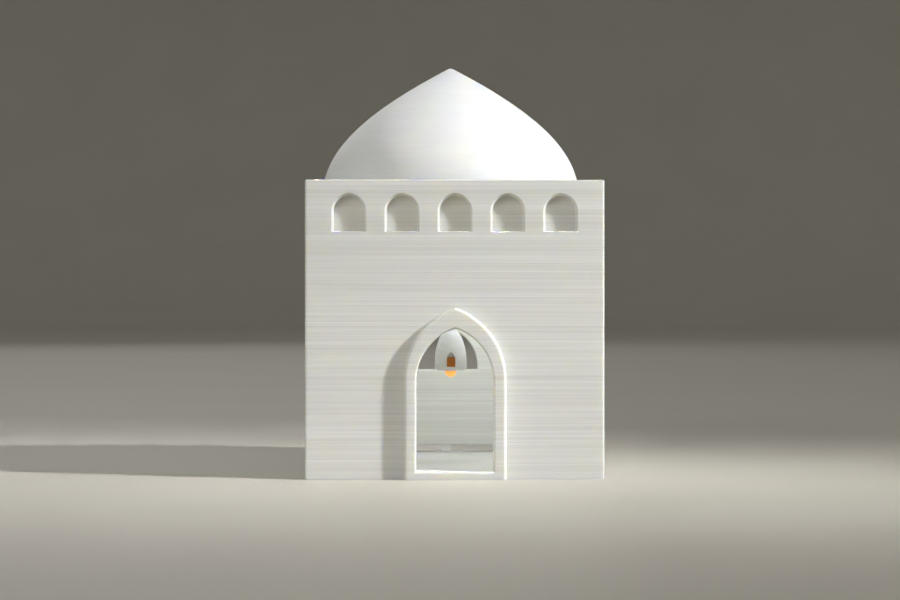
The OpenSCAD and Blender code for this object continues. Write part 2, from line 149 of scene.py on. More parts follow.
bend = [
    (FLOOR_RADIUS + FLOOR_BEND * math.sin(a), FLOOR_BEND * (1 - math.cos(a)))
    for a in [math.radians(9 * i) for i in range(11)]
]
floor = start_piece("floor")
lathe([(0, 0)] + bend + [(FLOOR_RADIUS + FLOOR_BEND, WALL_HEIGHT)], 64)
bpy.ops.mesh.flip_normals()
close_piece(floor, 60)
floor_paint, tree, shader = new_material("table_paint")
place = say("TexCoord", tree)
grain = say("TexNoise", tree)
set_inputs(grain, Scale=9.0, Detail=4.0)
tint = say("ValToRGB", tree)
tint.color_ramp.elements[0].color = (0.50, 0.47, 0.41, 1)
tint.color_ramp.elements[1].color = (0.56, 0.53, 0.47, 1)
tree.links.new(place.outputs["Object"], grain.inputs["Vector"])
tree.links.new(grain.outputs["Fac"], tint.inputs["Fac"])
tree.links.new(tint.outputs["Color"], shader.inputs["Base Color"])
set_inputs(shader, Roughness=0.55)
floor.data.materials.append(floor_paint)


def soft_box(name, watts, size, at, aim, colour, spread=180):
    """A square lamp that isn't seen itself."""
    bpy.ops.object.light_add(type="AREA", location=at)
    lamp = bpy.context.object
    lamp.name = name
    lamp.data.energy = watts
    lamp.data.size = size
    lamp.data.color = colour
    lamp.data.spread = math.radians(spread)
    lamp.rotation_euler = (Vector(aim) - Vector(at)).to_track_quat("-Z", "Y").to_euler()
    lamp.visible_camera = False
    return lamp


KEY_HEIGHT = math.radians(35)
KEY_FRONT = math.radians(15)
KEY_DISTANCE = 1.5
threshold = Vector((0, -HALF, 0.02))
key_from = Vector((math.cos(KEY_HEIGHT), -math.tan(KEY_FRONT), math.sin(KEY_HEIGHT))).normalized()
soft_box("window_light", 0.19, 0.1, threshold + key_from * KEY_DISTANCE, threshold, (0.98, 0.99, 1.0), 14)
soft_box("left_fill", 4.2, 0.8, (-0.7, -0.9, 0.7), threshold, (1.0, 0.975, 0.92))
soft_box("top_fill", 1.2, 0.8, (0.1, -0.3, 1.2), threshold, (0.96, 0.98, 1.0))
soft_box("back_fill", 1.6, 0.8, (-0.3, 1.2, 0.7), threshold, (0.98, 0.99, 1.0))
soft_box("hall_light", 0.022, 0.03, (0.006, 0.002, 0.069), (0.004, 0.026, 0.012), (0.97, 1.0, 0.98))
world = bpy.data.worlds.new("room")
bpy.context.scene.world = world
world.use_nodes = True
set_inputs(world.node_tree.nodes["Background"], Color=(0.28, 0.285, 0.275, 1), Strength=1.0)
bpy.context.scene.view_settings.view_transform = "Standard"

# ---- Printed body ----
# Floor, front wall and two side walls in one print, in ivory plastic that lets a little light through.
# The doorway has a raised surround with a rounded outer edge, and the niches have a splayed mouth.
WALL = 3.2 * MM
FLOOR = 1.2 * MM
LEDGE = 1.6 * MM
PLATE_Z = 72 * MM
POST = 6 * MM
POST_FOOT = 60 * MM
POST_BITE = 0.5 * MM
SCREW_AT = 31.4 * MM
SCREW_HOLE = 0.85 * MM
SCREW_HOLE_DEPTH = 9 * MM
PROUD = 2 * MM
SURROUND_ROUND = 0.8 * MM
CORNER_ROUND = 0.6 * MM
RIM_ROUND = 0.35 * MM
SURROUND = (12.8 * MM, 0, 25 * MM, 43 * MM)
DOORWAY = (9.7 * MM, 2.1 * MM, 24.5 * MM, 37.8 * MM)
DOOR_SPLAY = 0.35 * MM
NICHE = (3.85 * MM, 62.1 * MM, 67.1 * MM, 71.2 * MM)
NICHE_PITCH = 13.25 * MM
NICHE_COUNT = 5
NICHE_DEPTH = 2 * MM
NICHE_SPLAY = 0.5 * MM
CLEAR = 1 * MM


def pick(kind, test):
    """In edit mode, selects only the points, edges or faces whose middle passes the test."""
    bpy.ops.mesh.select_mode(type=kind)
    bpy.ops.mesh.select_all(action="DESELECT")
    mesh = bmesh.from_edit_mesh(bpy.context.object.data)
    if kind == "VERT":
        found = [v for v in mesh.verts if test(v.co)]
    elif kind == "EDGE":
        found = [e for e in mesh.edges if test((e.verts[0].co + e.verts[1].co) / 2)]
    else:
        found = [f for f in mesh.faces if test(f.calc_center_median())]
    for item in found:
        item.select_set(True)
    mesh.select_flush_mode()
    bmesh.update_edit_mesh(bpy.context.object.data)


def draw_arch(outline, y, grow, steps, foot_share):
    """One standing loop of a pointed arch: sill, leg, two arcs that meet in a point, leg, sill."""
    half_w, foot, spring, apex = outline
    rise = apex - spring
    off = (rise * rise - half_w * half_w) / (2 * half_w)
    turn = math.acos(off / (half_w + off + grow))
    wide = half_w + grow
    foot = foot - grow * foot_share
    draw_line([(0, y, foot), (wide, y, foot), (wide, y, spring)])
    bpy.ops.mesh.spin(steps=steps, angle=turn, center=(-off, y, spring), axis=(0, 1, 0))
    bpy.ops.mesh.spin(steps=steps, angle=turn, center=(off, y, spring), axis=(0, 1, 0))
    for step in [(0, 0, foot - spring), (wide, 0, 0)]:
        bpy.ops.mesh.extrude_region_move(TRANSFORM_OT_translate={"value": step})


def arch_body(name, outline, layers, steps, foot_share=1.0):
    """A closed solid through arch loops, given as (y, grow) from front to back.

    The foot drops by its share of the growth."""
    piece = start_piece(name)
    for y, grow in layers:
        draw_arch(outline, y, grow, steps, foot_share)
    bpy.ops.mesh.select_all(action="SELECT")
    bpy.ops.mesh.remove_doubles(threshold=0.002 * MM)
    for (y0, _), (y1, _) in zip(layers, layers[1:]):
        pick("VERT", lambda p: min(abs(p.y - y0), abs(p.y - y1)) < 0.001 * MM)
        bpy.ops.mesh.bridge_edge_loops()
    bpy.ops.mesh.select_all(action="SELECT")
    bpy.ops.mesh.fill_holes(sides=0)
    bpy.ops.mesh.normals_make_consistent(inside=False)
    bpy.ops.object.mode_set(mode="OBJECT")
    return piece


def block(name, low, high):
    """A box between two corners, with its object at the origin."""
    bpy.ops.object.select_all(action="DESELECT")
    low, high = Vector(low), Vector(high)
    bpy.ops.mesh.primitive_cube_add(size=1, location=(low + high) / 2, scale=high - low)
    piece = bpy.context.object
    piece.name = name
    bpy.ops.object.transform_apply(location=True, rotation=True, scale=True)
    return piece


def combine(piece, tool, operation="DIFFERENCE"):
    """Cuts the tool out of the piece, or adds it, and removes the tool."""
    modifier = piece.modifiers.new("combine", "BOOLEAN")
    modifier.object = tool
    modifier.operation = operation
    modifier.solver = "EXACT"
    bpy.ops.object.select_all(action="DESELECT")
    piece.select_set(True)
    bpy.context.view_layer.objects.active = piece
    bpy.ops.object.modifier_apply(modifier="combine")
    bpy.data.objects.remove(tool)


def copy_piece(piece, name, place=None):
    """A copy with its own mesh, moved or turned by a matrix."""
    twin = piece.copy()
    twin.data = piece.data.copy()
    twin.name = name
    if place is not None:
        twin.data.transform(place)
    bpy.context.scene.collection.objects.link(twin)
    return twin


def join_pieces(pieces):
    """Joins the pieces into the first of them."""
    bpy.ops.object.select_all(action="DESELECT")
    for piece in pieces:
        piece.select_set(True)
    bpy.context.view_layer.objects.active = pieces[0]
    bpy.ops.object.join()
    return pieces[0]


def niche_row():
    """The cutters of one row of niches, for the wall at the front."""
    mouth = -HALF + NICHE_SPLAY
    layers = [(-HALF - CLEAR, NICHE_SPLAY + CLEAR), (mouth, 0), (-HALF + NICHE_DEPTH, 0)]
    first = arch_body("niche_cutter", NICHE, layers, 14, foot_share=0.3)
    spots = [(i - (NICHE_COUNT - 1) / 2) * NICHE_PITCH for i in range(NICHE_COUNT)]
    row = [copy_piece(first, "niche_cutter", Matrix.Translation((x, 0, 0))) for x in spots]
    bpy.data.objects.remove(first)
    return join_pieces(row)


body = block("printed_body", (-HALF, -HALF, 0), (HALF, HALF, BODY_H))
bpy.ops.object.mode_set(mode="EDIT")
pick("EDGE", lambda p: abs(p.x) > HALF - MM and abs(p.y) > HALF - MM)
bpy.ops.mesh.bevel(offset=CORNER_ROUND, segments=3, affect="EDGES")
pick("FACE", lambda p: p.z > BODY_H - MM)
bpy.ops.mesh.region_to_loop()
bpy.ops.mesh.bevel(offset=RIM_ROUND, segments=2, affect="EDGES")
bpy.ops.object.mode_set(mode="OBJECT")

inner = HALF - WALL
combine(body, block("hall", (-inner, -inner, FLOOR), (inner, HALF + CLEAR, BODY_H + CLEAR)))
for x in (-1, 1):
    for y in (-1, 1):
        corner = [sorted((s * (inner - POST), s * (inner + POST_BITE))) for s in (x, y)]
        low = (corner[0][0], corner[1][0], POST_FOOT)
        high = (corner[0][1], min(corner[1][1], inner), PLATE_Z)
        combine(body, block("post", low, high), "UNION")

front = -HALF - PROUD
rounding = [math.radians(18 * i) for i in range(6)]
layers = [
    (front + SURROUND_ROUND * (1 - math.cos(a)), SURROUND_ROUND * (math.sin(a) - 1)) for a in rounding
]
layers.append((-HALF + 0.5 * MM, 0))
combine(body, arch_body("surround", SURROUND, layers, 32, foot_share=0), "UNION")

shelf = HALF - LEDGE
combine(body, block("ledge", (-shelf, -shelf, PLATE_Z), (shelf, HALF + CLEAR, BODY_H + CLEAR)))
combine(body, block("rebate", (-shelf, inner, FLOOR), (shelf, HALF + CLEAR, PLATE_Z + MM)))
door_layers = [
    (front - CLEAR, DOOR_SPLAY),
    (front, DOOR_SPLAY),
    (front + DOOR_SPLAY, 0),
    (-inner + CLEAR, 0),
]
combine(body, arch_body("doorway", DOORWAY, door_layers, 32))
front_row = niche_row()
rows = [copy_piece(front_row, "row", Matrix.Rotation(turn, 4, "Z")) for turn in (math.pi / 2, -math.pi / 2)]
rear_row = copy_piece(front_row, "rear_row", Matrix.Rotation(math.pi, 4, "Z"))
for row in [front_row] + rows:
    combine(body, row)
for x in (-SCREW_AT, SCREW_AT):
    for y in (-SCREW_AT, SCREW_AT):
        bpy.ops.object.select_all(action="DESELECT")
        bpy.ops.mesh.primitive_cylinder_add(
            vertices=24, radius=SCREW_HOLE, depth=SCREW_HOLE_DEPTH, location=(x, y, PLATE_Z - 3.5 * MM)
        )
        bpy.ops.object.transform_apply(location=True)
        combine(body, bpy.context.object)
close_piece(body, 24)


def add_socket(group, name, way, kind, value=None):
    """A named socket of a node group."""
    socket = group.interface.new_socket(name=name, in_out=way, socket_type="NodeSocket" + kind)
    if value is not None:
        socket.default_value = value


def make_print_layers():
    """Printed layers: fine ridges one above the other, and streaks that run along them and fade."""
    group = bpy.data.node_groups.new("print_layers", "ShaderNodeTree")
    add_socket(group, "Layer mm", "INPUT", "Float", 0.25)
    add_socket(group, "Streak mm", "INPUT", "Float", 14.0)
    add_socket(group, "Ridge share", "INPUT", "Float", 0.35)
    add_socket(group, "Height", "OUTPUT", "Float")
    add_socket(group, "Tone", "OUTPUT", "Float")
    enter = group.nodes.new("NodeGroupInput")
    leave = group.nodes.new("NodeGroupOutput")
    place = say("TexCoord", group)
    in_mm = say("VectorMath", group, operation="SCALE")
    set_inputs(in_mm, Scale=1000.0)
    split = say("SeparateXYZ", group)
    wave_at = say("Math", group, operation="DIVIDE")
    turns = say("Math", group, operation="MULTIPLY")
    turns.inputs[1].default_value = 2 * math.pi
    wave = say("Math", group, operation="SINE")
    ridge = say("MapRange", group)
    set_inputs(ridge, From_Min=-1.0, From_Max=1.0)
    along_x = say("Math", group, operation="DIVIDE")
    along_y = say("Math", group, operation="DIVIDE")
    up_fine = say("Math", group, operation="DIVIDE")
    up_fine.inputs[1].default_value = 0.3
    up_broad = say("Math", group, operation="DIVIDE")
    up_broad.inputs[1].default_value = 1.9
    fine_at = say("CombineXYZ", group)
    broad_at = say("CombineXYZ", group)
    fine = say("TexNoise", group)
    set_inputs(fine, Scale=1.0, Detail=1.0, Roughness=0.4)
    broad = say("TexNoise", group)
    set_inputs(broad, Scale=1.0, Detail=1.0, Roughness=0.4)
    tone = say("Mix", group)
    set_inputs(tone, Factor=0.38)
    height = say("Mix", group)
    link = group.links.new
    link(place.outputs["Object"], in_mm.inputs[0])
    link(in_mm.outputs[0], split.inputs[0])
    link(split.outputs["Z"], wave_at.inputs[0])
    link(enter.outputs["Layer mm"], wave_at.inputs[1])
    link(wave_at.outputs[0], turns.inputs[0])
    link(turns.outputs[0], wave.inputs[0])
    link(wave.outputs[0], ridge.inputs["Value"])
    for axis, divider in (("X", along_x), ("Y", along_y)):
        link(split.outputs[axis], divider.inputs[0])
        link(enter.outputs["Streak mm"], divider.inputs[1])
        link(divider.outputs[0], fine_at.inputs[axis])
        link(divider.outputs[0], broad_at.inputs[axis])
    for divider, spot, noise in ((up_fine, fine_at, fine), (up_broad, broad_at, broad)):
        link(split.outputs["Z"], divider.inputs[0])
        link(divider.outputs[0], spot.inputs["Z"])
        link(spot.outputs[0], noise.inputs["Vector"])
    link(fine.outputs["Fac"], tone.inputs["A"])
    link(broad.outputs["Fac"], tone.inputs["B"])
    link(enter.outputs["Ridge share"], height.inputs["Factor"])
    link(tone.outputs["Result"], height.inputs["A"])
    link(ridge.outputs["Result"], height.inputs["B"])
    link(height.outputs["Result"], leave.inputs["Height"])
    link(tone.outputs["Result"], leave.inputs["Tone"])
    return group


print_layers = make_print_layers()


def use_group(tree, group, **values):
    made = tree.nodes.new("ShaderNodeGroup")
    made.node_tree = group
    set_inputs(made, **values)
    return made


def mark_lines(tree, lines, width):
    """A value that is the line's strength at each height given as (height, strength), and 0 elsewhere."""
    place = say("TexCoord", tree)
    height = say("SeparateXYZ", tree)
    share = say("MapRange", tree)
    set_inputs(share, From_Max=BODY_H)
    marks = say("ValToRGB", tree)
    ramp = marks.color_ramp
    ramp.interpolation = "CONSTANT"
    ramp.elements.remove(ramp.elements[1])
    ramp.elements[0].color = (0, 0, 0, 1)
    for z, strength in lines:
        ramp.elements.new((z - width / 2) / BODY_H).color = (strength, strength, strength, 1)
        ramp.elements.new((z + width / 2) / BODY_H).color = (0, 0, 0, 1)
    tree.links.new(place.outputs["Object"], height.inputs[0])
    tree.links.new(height.outputs["Z"], share.inputs["Value"])
    tree.links.new(share.outputs["Result"], marks.inputs["Fac"])
    return marks.outputs["Color"]


def print_material(name, dark, light, layer_mm, streak_mm, ridge, depth, rough, glow_mm, lines=()):
    """Printed plastic: tone and gloss change along the streaks, and the ridges are a slight relief."""
    material, tree, shader = new_material(name)
    layers = use_group(tree, print_layers, Layer_mm=layer_mm, Streak_mm=streak_mm, Ridge_share=ridge)
    tint = say("ValToRGB", tree)
    tint.color_ramp.elements[0].position = 0.3
    tint.color_ramp.elements[1].position = 0.7
    tint.color_ramp.elements[0].color = dark
    tint.color_ramp.elements[1].color = light
    gloss = say("MapRange", tree)
    set_inputs(gloss, To_Min=rough - 0.08, To_Max=rough + 0.08)
    relief = say("Bump", tree)
    set_inputs(relief, Strength=1.0, Distance=depth)
    link = tree.links.new
    tone = layers.outputs["Tone"]
    if lines:
        marked = say("Math", tree, operation="SUBTRACT")
        link(tone, marked.inputs[0])
        link(mark_lines(tree, lines, LINE_WIDTH), marked.inputs[1])
        tone = marked.outputs[0]
    link(tone, tint.inputs["Fac"])
    link(tint.outputs["Color"], shader.inputs["Base Color"])
    link(tone, gloss.inputs["Value"])
    link(gloss.outputs["Result"], shader.inputs["Roughness"])
    link(layers.outputs["Height"], relief.inputs["Height"])
    link(relief.outputs["Normal"], shader.inputs["Normal"])
    shader.subsurface_method = "RANDOM_WALK"
    set_inputs(shader, Subsurface_Weight=0.55, Subsurface_Radius=(1.0, 0.85, 0.5))
    set_inputs(shader, Subsurface_Scale=glow_mm * MM, IOR=1.46, Specular_IOR_Level=0.4)
    return material


# Where a print pauses or its infill changes, a thin line runs right round it
LINE_WIDTH = 0.24 * MM
PRINT_LINES = [
    (19.1 * MM, 0.08),
    (22.2 * MM, 0.1),
    (38 * MM, 0.3),
    (48.5 * MM, 0.12),
    (71.6 * MM, 0.3),
    (72.1 * MM, 0.35),
]
body_print = print_material(
    "ivory_print",
    dark=(0.765, 0.765, 0.73, 1),
    light=(0.905, 0.91, 0.895, 1),
    layer_mm=0.25,
    streak_mm=70,
    ridge=0.25,
    depth=0.04 * MM,
    rough=0.5,
    glow_mm=1.3,
    lines=PRINT_LINES,
)
body.data.materials.clear()
body.data.materials.append(body_print)
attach(body, "root")
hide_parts("wall_shell")

# ---- Rear panel ----
# A flat printed panel set between the side walls. It stands on one small nib, so light comes in under it.
PANEL_GAP = 0.1 * MM
PANEL_BACK = HALF
PANEL_FRONT = HALF - WALL + PANEL_GAP
PANEL_SIDE = HALF - LEDGE - PANEL_GAP
PANEL_FOOT = 3.4 * MM
PANEL_EDGE = 0.3 * MM
NIB = 1 * MM
WINDOW = (8.7 * MM, 25 * MM, 26 * MM, 36.8 * MM)

panel = block("back_panel", (-PANEL_SIDE, PANEL_FRONT, PANEL_FOOT), (PANEL_SIDE, PANEL_BACK, BODY_H))
bpy.ops.object.mode_set(mode="EDIT")
bpy.ops.mesh.select_all(action="SELECT")
bpy.ops.mesh.bevel(offset=RIM_ROUND, segments=2, affect="EDGES")
bpy.ops.object.mode_set(mode="OBJECT")
nib_low = (-NIB, PANEL_FRONT + PANEL_EDGE, FLOOR)
combine(panel, block("nib", nib_low, (NIB, PANEL_BACK - PANEL_EDGE, PANEL_FOOT + MM)), "UNION")
combine(panel, block("step", (-HALF, PANEL_FRONT - CLEAR, PLATE_Z), (HALF, shelf, BODY_H + CLEAR)))
window_layers = [
    (PANEL_FRONT - CLEAR, PANEL_EDGE),
    (PANEL_FRONT, PANEL_EDGE),
    (PANEL_FRONT + PANEL_EDGE, 0),
    (PANEL_BACK - PANEL_EDGE, 0),
    (PANEL_BACK, PANEL_EDGE),
    (PANEL_BACK + CLEAR, PANEL_EDGE),
]
combine(panel, arch_body("window", WINDOW, window_layers, 24))
combine(panel, rear_row)
close_piece(panel, 24)
panel.data.materials.clear()
panel.data.materials.append(body_print)
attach(panel, "root")
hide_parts("rear_panel")

# ---- Dome ----
# A thin printed shell in a cooler, bluish white, with a softly rounded point. Its layers show as fine rings,
# and every second ring stands a little prouder. It is loose and lifts off the roof.
DOME_RISE = 32.4 * MM
DOME_FOOT = 34.3 * MM
DOME_WALL = 1.8 * MM
DOME_SHOULDER = 11.4 * MM
DOME_LEAN = math.radians(7.8)
DOME_PITCH = math.radians(28)
DOME_RUN = 0.71
RING_STEP = 0.36 * MM
RING_GROOVES = (0.034 * MM, 0.014 * MM)
POINT_R = 0.9 * MM


def dome_point(t, foot, top, shoulder):
    """A place on the dome's curve, from its foot at 0 to its point at 1: radius and height above the roof."""
    run = foot * DOME_RUN
    handles = [
        (foot, 0),
        (foot - shoulder * math.sin(DOME_LEAN), shoulder * math.cos(DOME_LEAN)),
        (run * math.cos(DOME_PITCH), top - run * math.sin(DOME_PITCH)),
        (0, top),
    ]
    shares = [(1 - t) ** 3, 3 * (1 - t) ** 2 * t, 3 * (1 - t) * t * t, t**3]
    return Vector([sum(w * h[i] for w, h in zip(shares, handles)) for i in (0, 1)])


def dome_at_height(z):
    """The outer curve's place and outward direction at that height."""
    low, high = 0.0, 1.0
    for _ in range(30):
        middle = (low + high) / 2
        if dome_point(middle, DOME_FOOT, DOME_RISE, DOME_SHOULDER).y < z:
            low = middle
        else:
            high = middle
    place = dome_point(low, DOME_FOOT, DOME_RISE, DOME_SHOULDER)
    ahead = dome_point(min(low + 0.002, 1), DOME_FOOT, DOME_RISE, DOME_SHOULDER) - place
    return place, Vector((ahead.y, -ahead.x)).normalized()


inner_dome = [DOME_FOOT - DOME_WALL, DOME_RISE - 1.25 * DOME_WALL, DOME_SHOULDER - 0.4 * DOME_WALL]
profile = [dome_point(1 - i / 28, *inner_dome) for i in range(29)]
profile += [Vector((DOME_FOOT - 0.15 * MM, 0))]
ring = 0
while True:
    crest = dome_at_height((ring + 0.5) * RING_STEP)[0]
    if crest.x < POINT_R:
        break
    profile.append(crest)
    groove, out = dome_at_height((ring + 1) * RING_STEP)
    profile.append(groove - out * RING_GROOVES[ring % 2])
    ring += 1
tangent = profile[-1]
point_round = tangent.x / math.sin(DOME_PITCH)
point_middle = tangent.y - point_round * math.cos(DOME_PITCH)
for share in (0.75, 0.5, 0.25, 0.0):
    a = DOME_PITCH * share
    profile.append(Vector((point_round * math.sin(a), point_middle + point_round * math.cos(a))))
dome = start_piece("dome_shell")
lathe([(p.x, p.y + BODY_H) for p in profile], 120)
close_piece(dome, 50)
dome_print = print_material(
    "white_print",
    dark=(0.84, 0.855, 0.865, 1),
    light=(0.89, 0.90, 0.91, 1),
    layer_mm=RING_STEP / MM,
    streak_mm=26,
    ridge=0.2,
    depth=0.01 * MM,
    rough=0.42,
    glow_mm=1.4,
)
dome.data.materials.append(dome_print)
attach(dome, "dome")
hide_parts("dome")

# ---- Roof plate and locating ring ----
# The roof is a printed square let into the top of the walls. Its top skin shows the nozzle's slanting
# strokes, and the ring printed on it keeps the dome in the middle.
STROKE_MM = 0.45


def refine(node_name, name, bevel, smooth_below=40):
    """A copy of a CAD node with its triangles merged and its edges eased, which stands for the node."""
    bpy.ops.object.select_all(action="DESELECT")
    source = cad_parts[node_name]
    piece = bpy.data.objects.new(name, source.data.copy())
    bpy.context.scene.collection.objects.link(piece)
    piece.data.materials.clear()
    piece.select_set(True)
    bpy.context.view_layer.objects.active = piece
    bpy.ops.object.mode_set(mode="EDIT")
    bpy.ops.mesh.select_mode(type="VERT")
    bpy.ops.mesh.select_all(action="SELECT")
    bpy.ops.mesh.customdata_custom_splitnormals_clear()
    bpy.ops.mesh.remove_doubles(threshold=0.001 * MM)
    bpy.ops.mesh.dissolve_limited(angle_limit=math.radians(0.5))
    bpy.ops.mesh.normals_make_consistent(inside=False)
    bpy.ops.object.mode_set(mode="OBJECT")
    ease = piece.modifiers.new("ease", "BEVEL")
    ease.width = bevel
    ease.segments = 2
    ease.limit_method = "ANGLE"
    ease.angle_limit = math.radians(smooth_below)
    ease.harden_normals = False
    bpy.ops.object.modifier_apply(modifier="ease")
    close_piece(piece, smooth_below)
    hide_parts(node_name)
    return piece


def finish(piece, material, body):
    """Gives a piece its material, slot and body."""
    piece.data.materials.clear()
    piece.data.materials.append(material)
    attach(piece, body)


def make_dust():
    """Fine dust that has settled in patches on what faces up."""
    group = bpy.data.node_groups.new("settled_dust", "ShaderNodeTree")
    add_socket(group, "Amount", "INPUT", "Float", 0.3)
    add_socket(group, "Dust", "OUTPUT", "Float")
    enter = group.nodes.new("NodeGroupInput")
    leave = group.nodes.new("NodeGroupOutput")
    place = say("TexCoord", group)
    split = say("SeparateXYZ", group)
    facing = say("MapRange", group)
    set_inputs(facing, From_Min=0.4, From_Max=0.95)
    speckle = say("TexNoise", group)
    set_inputs(speckle, Scale=900.0, Detail=5.0, Roughness=0.7)
    patch = say("MapRange", group)
    set_inputs(patch, From_Min=0.42, From_Max=0.7)
    lying = say("Math", group, operation="MULTIPLY")
    share = say("Math", group, operation="MULTIPLY")
    link = group.links.new
    link(place.outputs["Normal"], split.inputs[0])
    link(split.outputs["Z"], facing.inputs["Value"])
    link(place.outputs["Object"], speckle.inputs["Vector"])
    link(speckle.outputs["Fac"], patch.inputs["Value"])
    link(facing.outputs["Result"], lying.inputs[0])
    link(patch.outputs["Result"], lying.inputs[1])
    link(lying.outputs[0], share.inputs[0])
    link(enter.outputs["Amount"], share.inputs[1])
    link(share.outputs[0], leave.inputs["Dust"])
    return group


dust = make_dust()


def roof_material():
    """Printed top skin: slanting strokes side by side over the layers' tone, with a little dust."""
    material, tree, shader = new_material("roof_print")
    layers = use_group(tree, print_layers, Layer_mm=0.25, Streak_mm=5.0, Ridge_share=0.2)
    place = say("TexCoord", tree)
    across = say("VectorMath", tree, operation="DOT_PRODUCT")
    across.inputs[1].default_value = [2 * math.pi / STROKE_MM / MM / math.sqrt(2)] * 2 + [0]
    wave = say("Math", tree, operation="SINE")
    stroke = say("MapRange", tree)
    set_inputs(stroke, From_Min=-1.0, From_Max=0.2)
    tint = say("ValToRGB", tree)
    tint.color_ramp.elements[0].color = (0.78, 0.785, 0.77, 1)
    tint.color_ramp.elements[1].color = (0.88, 0.885, 0.87, 1)
    tone = say("Mix", tree)
    set_inputs(tone, Factor=0.35)
    lying = use_group(tree, dust, Amount=0.35)
    dusty = say("Mix", tree, data_type="RGBA")
    dusty.inputs["B"].default_value = (0.52, 0.50, 0.46, 1)
    gloss = say("MapRange", tree)
    set_inputs(gloss, To_Min=0.4, To_Max=0.6)
    relief = say("Bump", tree)
    set_inputs(relief, Strength=1.0, Distance=0.03 * MM)
    link = tree.links.new
    link(place.outputs["Object"], across.inputs[0])
    link(across.outputs["Value"], wave.inputs[0])
    link(wave.outputs[0], stroke.inputs["Value"])
    link(layers.outputs["Tone"], tone.inputs["A"])
    link(stroke.outputs["Result"], tone.inputs["B"])
    link(tone.outputs["Result"], tint.inputs["Fac"])
    link(tint.outputs["Color"], dusty.inputs["A"])
    link(lying.outputs["Dust"], dusty.inputs["Factor"])
    link(dusty.outputs["Result"], shader.inputs["Base Color"])
    link(layers.outputs["Tone"], gloss.inputs["Value"])
    link(gloss.outputs["Result"], shader.inputs["Roughness"])
    link(stroke.outputs["Result"], relief.inputs["Height"])
    link(relief.outputs["Normal"], shader.inputs["Normal"])
    set_inputs(shader, Subsurface_Weight=0.3, Subsurface_Radius=(1.0, 0.9, 0.7), Subsurface_Scale=1.0 * MM)
    return material


roof_print = roof_material()
finish(refine("roof_plate", "roof_square", 0.2 * MM), roof_print, "root")
finish(refine("locating_ring", "dome_ring", 0.25 * MM), roof_print, "root")

# ---- Roof screws ----
# Four small countersunk steel screws with a cross, sunk flush with the roof, one in each corner post.


def make_rubbed():
    """Handled metal: cloudy patches, and hair scratches in all directions."""
    group = bpy.data.node_groups.new("rubbed_metal", "ShaderNodeTree")
    add_socket(group, "Patch mm", "INPUT", "Float", 1.5)
    add_socket(group, "Cloud", "OUTPUT", "Float")
    add_socket(group, "Scratch", "OUTPUT", "Float")
    enter = group.nodes.new("NodeGroupInput")
    leave = group.nodes.new("NodeGroupOutput")
    place = say("TexCoord", group)
    in_mm = say("VectorMath", group, operation="SCALE")
    set_inputs(in_mm, Scale=1000.0)
    size = say("Math", group, operation="DIVIDE")
    size.inputs[0].default_value = 1.0
    cloud = say("TexNoise", group)
    set_inputs(cloud, Detail=6.0, Roughness=0.65)
    hair = say("TexVoronoi", group, feature="DISTANCE_TO_EDGE")
    set_inputs(hair, Scale=1.3)
    thin = say("MapRange", group)
    set_inputs(thin, From_Min=0.0, From_Max=0.02, To_Min=1.0, To_Max=0.0)
    link = group.links.new
    link(place.outputs["Object"], in_mm.inputs[0])
    link(enter.outputs["Patch mm"], size.inputs[1])
    link(in_mm.outputs[0], cloud.inputs["Vector"])
    link(size.outputs[0], cloud.inputs["Scale"])
    link(in_mm.outputs[0], hair.inputs["Vector"])
    link(hair.outputs["Distance"], thin.inputs["Value"])
    link(cloud.outputs["Fac"], leave.inputs["Cloud"])
    link(thin.outputs["Result"], leave.inputs["Scratch"])
    return group


rubbed = make_rubbed()


def metal_material(name, dull, bright, smooth, rough, patch_mm):
    """Bare or plated metal whose tone and gloss change over it."""
    material, tree, shader = new_material(name)
    worn = use_group(tree, rubbed, Patch_mm=patch_mm)
    tint = say("ValToRGB", tree)
    tint.color_ramp.elements[0].position = 0.35
    tint.color_ramp.elements[1].position = 0.62
    tint.color_ramp.elements[0].color = dull
    tint.color_ramp.elements[1].color = bright
    gloss = say("MapRange", tree)
    set_inputs(gloss, From_Min=0.3, From_Max=0.7, To_Min=rough, To_Max=smooth)
    relief = say("Bump", tree)
    set_inputs(relief, Strength=0.4, Distance=0.01 * MM)
    link = tree.links.new
    link(worn.outputs["Cloud"], tint.inputs["Fac"])
    link(tint.outputs["Color"], shader.inputs["Base Color"])
    link(worn.outputs["Cloud"], gloss.inputs["Value"])
    link(gloss.outputs["Result"], shader.inputs["Roughness"])
    link(worn.outputs["Scratch"], relief.inputs["Height"])
    link(relief.outputs["Normal"], shader.inputs["Normal"])
    set_inputs(shader, Metallic=1.0)
    return material


screw_steel = metal_material(
    "screw_steel",
    dull=(0.40, 0.40, 0.41, 1),
    bright=(0.62, 0.62, 0.63, 1),
    smooth=0.22,
    rough=0.42,
    patch_mm=0.8,
)
finish(refine("roof_screws", "corner_screws", 0.06 * MM, 50), screw_steel, "root")

# ---- Lamp hanger ----
# A ceiling rose printed in white, a brass eye screwed through it, a loose brass link and the lamp's own eye.
# Each ring is one piece of hard brass wire bent round and closed.
WIRE = 0.4 * MM
EYE = 1.5 * MM
ROSE_FOOT = 70.2 * MM
CEILING_EYE_Z = 67.7 * MM
SHANK_R = 0.45 * MM
SHANK_TOP = 73.5 * MM
LINK_Z = 65.6 * MM
LAMP_EYE_Z = 63.5 * MM
LAMP_SHANK_FOOT = 60.4 * MM

